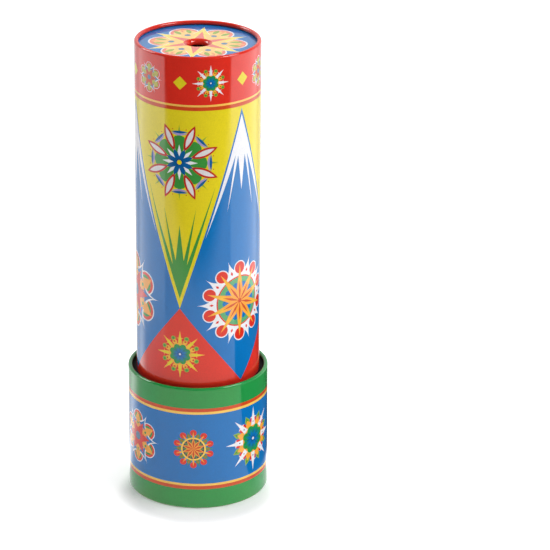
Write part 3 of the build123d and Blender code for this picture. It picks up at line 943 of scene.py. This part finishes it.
def floor_material():
    """Pale floor that is only there from above, so that the underside can be looked at.

    It is overlit for the camera all round, except for a soft shadow painted in front of the drum, and it
    lights the cell from below.
    """
    m = Nodes("pale_floor")
    speckle = m.ranged(m.noise(30, 3), 0.99, 1.01)
    m.link(m.shaded(m.colour((0.88, 0.88, 0.885)), speckle), m.shader.inputs["Base Color"])
    m.set(Roughness=0.9, Specular_IOR_Level=0.1, Emission_Color=(1, 1, 1, 1))
    geometry = m.add("ShaderNodeNewGeometry")
    place = m.add("ShaderNodeSeparateXYZ")
    m.link(geometry.outputs["Position"], place.inputs[0])
    aside = place.outputs[0]
    ahead = m.maths("MULTIPLY", place.outputs[1], -1.0)
    path = m.add("ShaderNodeLightPath")
    # Painted shadow: the camera-only glow is lower in a circle in front of the drum, whatever the lamps do.
    shade_distance = floor_distance(m, aside, m.maths("SUBTRACT", ahead, SHADE_AHEAD))
    open_floor = m.smooth(shade_distance, SHADE_INNER, SHADE_OUTER)
    lift = m.maths("ADD", SHADE_LIFT, product(m, open_floor, OPEN_LIFT))
    lift = product(m, lift, path.outputs["Is Camera Ray"])
    under = product(m, m.smooth(floor_distance(m, aside, ahead), UNDER, UNDER - 0.002), UNDER_GLOW)
    m.link(m.maths("MAXIMUM", lift, under), m.shader.inputs["Emission Strength"])
    from_gloss = m.add("ShaderNodeMixShader")
    m.link(path.outputs["Is Glossy Ray"], from_gloss.inputs[0])
    m.link(m.shader.outputs[0], from_gloss.inputs[1])
    m.link(lit_table(m, path, aside, ahead), from_gloss.inputs[2])
    from_below = m.add("ShaderNodeMixShader")
    m.link(geometry.outputs["Backfacing"], from_below.inputs[0])
    m.link(from_gloss.outputs[0], from_below.inputs[1])
    m.link(m.add("ShaderNodeBsdfTransparent").outputs[0], from_below.inputs[2])
    m.link(from_below.outputs[0], m.output.inputs["Surface"])
    return m.material


def build_floor():
    mesh = bpy.data.meshes.new("studio_floor")
    half = 6.0
    corners = [(x, y, 0) for x, y in rectangle(-half, half, -half, half)]
    mesh.from_pydata(corners, [], [(0, 1, 2, 3)])
    mesh.materials.append(floor_material())
    floor = bpy.data.objects.new("studio_floor", mesh)
    bpy.context.scene.collection.objects.link(floor)


def lamp(name, bearing, height, distance, width, depth, power, shines):
    """Rectangular lamp aimed at the object's middle.

    bearing is in degrees from the front, positive to the right, and height in degrees up. shines is
    True for a lamp that only shows in gloss, and False for one that only lights.
    """
    middle = Vector((0, 0, 0.12))
    level, rise = polar(distance, height)
    light = bpy.data.lights.new(name, "AREA")
    light.shape = "RECTANGLE"
    light.size = width
    light.size_y = depth
    light.energy = power
    panel = bpy.data.objects.new(name, light)
    turn = math.radians(bearing)
    panel.location = middle + Vector((level * math.sin(turn), -level * math.cos(turn), rise))
    panel.rotation_mode = "QUATERNION"
    panel.rotation_quaternion = (middle - panel.location).to_track_quat("-Z", "Y")
    panel.visible_camera = False
    panel.visible_glossy = shines
    panel.visible_diffuse = not shines
    bpy.context.scene.collection.objects.link(panel)


def studio_world():
    """Even pale light. Gloss shows a white backdrop behind, and a dim room in front and above."""
    even_light = 0.33
    world = bpy.data.worlds.new("studio_world")
    world.use_nodes = True
    tree = world.node_tree
    place = tree.nodes.new("ShaderNodeTexCoord")
    split = tree.nodes.new("ShaderNodeSeparateXYZ")
    backwards = tree.nodes.new("ShaderNodeMath")
    backwards.operation = "SUBTRACT"
    backdrop = tree.nodes.new("ShaderNodeMapRange")
    backdrop.interpolation_type = "SMOOTHSTEP"
    for name, number in (("From Min", -0.3), ("From Max", 0.45), ("To Min", 0.08), ("To Max", 0.95)):
        backdrop.inputs[name].default_value = number
    path = tree.nodes.new("ShaderNodeLightPath")
    mix = tree.nodes.new("ShaderNodeMix")
    mix.inputs["A"].default_value = even_light
    tree.links.new(place.outputs["Generated"], split.inputs[0])
    tree.links.new(split.outputs["Y"], backwards.inputs[0])
    tree.links.new(split.outputs["Z"], backwards.inputs[1])
    tree.links.new(backwards.outputs[0], backdrop.inputs["Value"])
    tree.links.new(path.outputs["Is Glossy Ray"], mix.inputs["Factor"])
    tree.links.new(backdrop.outputs["Result"], mix.inputs["B"])
    tree.links.new(mix.outputs["Result"], tree.nodes["Background"].inputs["Strength"])
    tree.nodes["Background"].inputs["Color"].default_value = (1, 1, 1, 1)
    return world


def light_studio():
    """Key light from the right, weaker ones all round and below, and two strips for the gloss."""
    bpy.context.scene.world = studio_world()
    # Bearing and height in degrees, then distance, width and depth in metres, then watts
    lamp("key_light", 75, 42, 1.3, 1.2, 0.9, 12.4, False)
    lamp("left_light", -105, 40, 1.3, 0.8, 0.8, 4.0, False)
    lamp("front_light", 35, 50, 1.7, 1.0, 1.0, 0.9, False)
    lamp("table_light", 12, -12, 0.32, 0.25, 0.12, 0.12, False)
    lamp("back_light", 150, 65, 1.5, 0.9, 0.9, 4.5, False)
    lamp("right_strip", 70, 45, 1.2, 0.6, 0.4, 9, True)
    lamp("left_strip", -118, 38, 1.2, 0.6, 0.4, 7, True)
    bpy.context.scene.view_settings.view_transform = "Standard"


def place_camera():
    """Camera in front of the object and above it, with a long lens. Its angles are in radians."""
    ahead = 1.4289
    height = 0.67457
    pitch = 0.3769  # downwards
    heading = 0.0261  # to the right
    roll = 0.0087
    forward = Vector(
        (math.sin(heading) * math.cos(pitch), math.cos(heading) * math.cos(pitch), -math.sin(pitch))
    )
    right = Vector((math.cos(heading), -math.sin(heading), 0))
    up = right.cross(forward)
    right, up = right * math.cos(roll) + up * math.sin(roll), up * math.cos(roll) - right * math.sin(roll)
    data = bpy.data.cameras.new("camera")
    data.lens = 207.7  # millimetres
    data.sensor_width = 36
    data.clip_start = 0.05
    camera = bpy.data.objects.new("camera", data)
    turn = Matrix((right, up, -forward)).transposed()
    camera.matrix_world = Matrix.Translation((0, -ahead, height)) @ turn.to_4x4()
    bpy.context.scene.collection.objects.link(camera)
    bpy.context.scene.camera = camera


# ---- Assembly ----

tin_finishes = [printed_tin(), bare_tin()]
for build, body, node, slot in (
    (printed_tube, "tube_body", "tube_shell", "printed_tin_tube"),
    (printed_drum, "drum", "drum_shell", "printed_tin_drum"),
    (printed_eyepiece, "tube_body", "eyepiece_disc", "printed_tin_eyepiece"),
):
    shell = build(tin_finishes)
    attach(shell, body)
    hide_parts(node)

paint_nodes()
build_floor()
light_studio()
place_camera()

bpy.context.view_layer.update()
